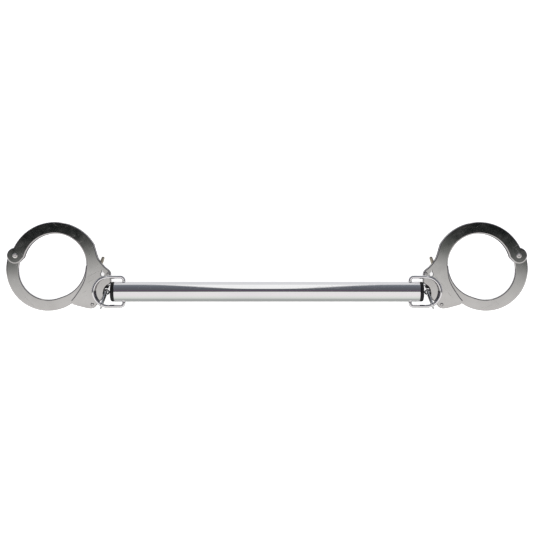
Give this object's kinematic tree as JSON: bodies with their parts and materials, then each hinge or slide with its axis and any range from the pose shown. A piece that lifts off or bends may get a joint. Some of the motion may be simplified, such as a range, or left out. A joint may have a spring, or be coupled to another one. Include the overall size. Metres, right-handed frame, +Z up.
{
  "type": "handcuffs with a rigid spreader bar",
  "caption": "Pair of swing-through metal handcuffs held apart by a rigid chromed tube, each on a D-ring and chain link.",
  "frame": {"origin": "on the surface the handcuffs lie on, under the centre of their bounding box", "axes": "+X along the bar from the left cuff to the right one, +Y across the bar towards the side that the cuffs lie on, +Z up off the surface"},
  "size_m": [0.4706, 0.08, 0.018],
  "materials": {
    "nickel": "satin-polished nickel plate",
    "chrome": "mirror chrome",
    "lock_steel": "stamped steel",
    "spring_steel": "blued spring steel",
    "black_plastic": "black moulded plastic"
  },
  "bodies": {
    "bar": {"bar_tube": "chrome", "left_end_cap": "black_plastic", "right_end_cap": "black_plastic"},
    "left_ring": {"left_d_ring": "chrome"},
    "left_link": {"left_chain_link": "chrome"},
    "left_eye": {"left_swivel": "chrome"},
    "left_cuff": {"left_front_cheek": "nickel", "left_rear_cheek": "nickel", "left_lock_frame": "lock_steel", "left_pivot_rivet": "nickel", "left_lower_rivet": "nickel", "left_upper_rivet": "nickel", "left_lever_pin": "lock_steel", "left_swivel_bush": "black_plastic", "left_pawl_spring": "spring_steel"},
    "left_jaw_arm": {"left_jaw": "nickel"},
    "left_lever": {"left_release_lever": "lock_steel"},
    "left_ratchet": {"left_pawl": "lock_steel"},
    "right_ring": {"right_d_ring": "chrome"},
    "right_link": {"right_chain_link": "chrome"},
    "right_eye": {"right_swivel": "chrome"},
    "right_cuff": {"right_front_cheek": "nickel", "right_rear_cheek": "nickel", "right_lock_frame": "lock_steel", "right_pivot_rivet": "nickel", "right_lower_rivet": "nickel", "right_upper_rivet": "nickel", "right_lever_pin": "lock_steel", "right_swivel_bush": "black_plastic", "right_pawl_spring": "spring_steel"},
    "right_jaw_arm": {"right_jaw": "nickel"},
    "right_lever": {"right_release_lever": "lock_steel"},
    "right_ratchet": {"right_pawl": "lock_steel"}
  },
  "joints": [
    {"name": "left_ring_swing", "type": "hinge", "parent": "bar", "child": "left_ring", "pos_m": [-0.1287, -0.02276, 0.009], "axis": [0, 1, 0], "range_deg": [-85, 120]},
    {"name": "left_link_slide", "type": "hinge", "parent": "left_ring", "child": "left_link", "pos_m": [-0.14276, -0.02276, 0.01098], "axis": [0.1392, 0, 0.9903], "range_deg": [-2, 22]},
    {"name": "left_eye_turn", "type": "hinge", "parent": "left_link", "child": "left_eye", "pos_m": [-0.1449, -0.02311, 0.0046], "axis": [0.1483, 0.4913, 0.8583], "range_deg": [-3, 7]},
    {"name": "left_cuff_roll", "type": "hinge", "parent": "left_eye", "child": "left_cuff", "pos_m": [-0.1449, -0.02311, 0.0046], "axis": [0.9135, -0.4067, 0], "range_deg": [-6, 3]},
    {"name": "left_jaw_swing", "type": "hinge", "parent": "left_cuff", "child": "left_jaw_arm", "pos_m": [-0.22677, 0.00962, 0.0046], "axis": [0, 0, 1], "continuous": true},
    {"name": "left_lever_tilt", "type": "hinge", "parent": "left_cuff", "child": "left_lever", "pos_m": [-0.1513, -0.00231, 0.0046], "axis": [0, 0, 1], "range_deg": [-14, 5]},
    {"name": "left_pawl_tilt", "type": "hinge", "parent": "left_cuff", "child": "left_ratchet", "pos_m": [-0.15717, -0.03417, 0.0046], "axis": [0, 0, 1], "range_deg": [-1.5, 5.6], "deforming": ["left_pawl_spring"]},
    {"name": "right_ring_swing", "type": "hinge", "parent": "bar", "child": "right_ring", "pos_m": [0.1287, -0.02276, 0.009], "axis": [0, -1, 0], "range_deg": [-85, 120]},
    {"name": "right_link_slide", "type": "hinge", "parent": "right_ring", "child": "right_link", "pos_m": [0.14276, -0.02276, 0.01098], "axis": [0.1392, 0, -0.9903], "range_deg": [-2, 22]},
    {"name": "right_eye_turn", "type": "hinge", "parent": "right_link", "child": "right_eye", "pos_m": [0.1449, -0.02311, 0.0046], "axis": [0.1483, -0.4913, -0.8583], "range_deg": [-3, 7]},
    {"name": "right_cuff_roll", "type": "hinge", "parent": "right_eye", "child": "right_cuff", "pos_m": [0.1449, -0.02311, 0.0046], "axis": [0.9135, 0.4067, 0], "range_deg": [-6, 3]},
    {"name": "right_jaw_swing", "type": "hinge", "parent": "right_cuff", "child": "right_jaw_arm", "pos_m": [0.22677, 0.00962, 0.0046], "axis": [0, 0, -1], "continuous": true},
    {"name": "right_lever_tilt", "type": "hinge", "parent": "right_cuff", "child": "right_lever", "pos_m": [0.1513, -0.00231, 0.0046], "axis": [0, 0, -1], "range_deg": [-14, 5]},
    {"name": "right_pawl_tilt", "type": "hinge", "parent": "right_cuff", "child": "right_ratchet", "pos_m": [0.15717, -0.03417, 0.0046], "axis": [0, 0, -1], "range_deg": [-1.5, 5.6], "deforming": ["right_pawl_spring"]}
  ],
  "couplings": [
    {"joint": "left_pawl_tilt", "follows": "left_lever_tilt", "ratio": -0.29},
    {"joint": "right_pawl_tilt", "follows": "right_lever_tilt", "ratio": -0.29}
  ]
}
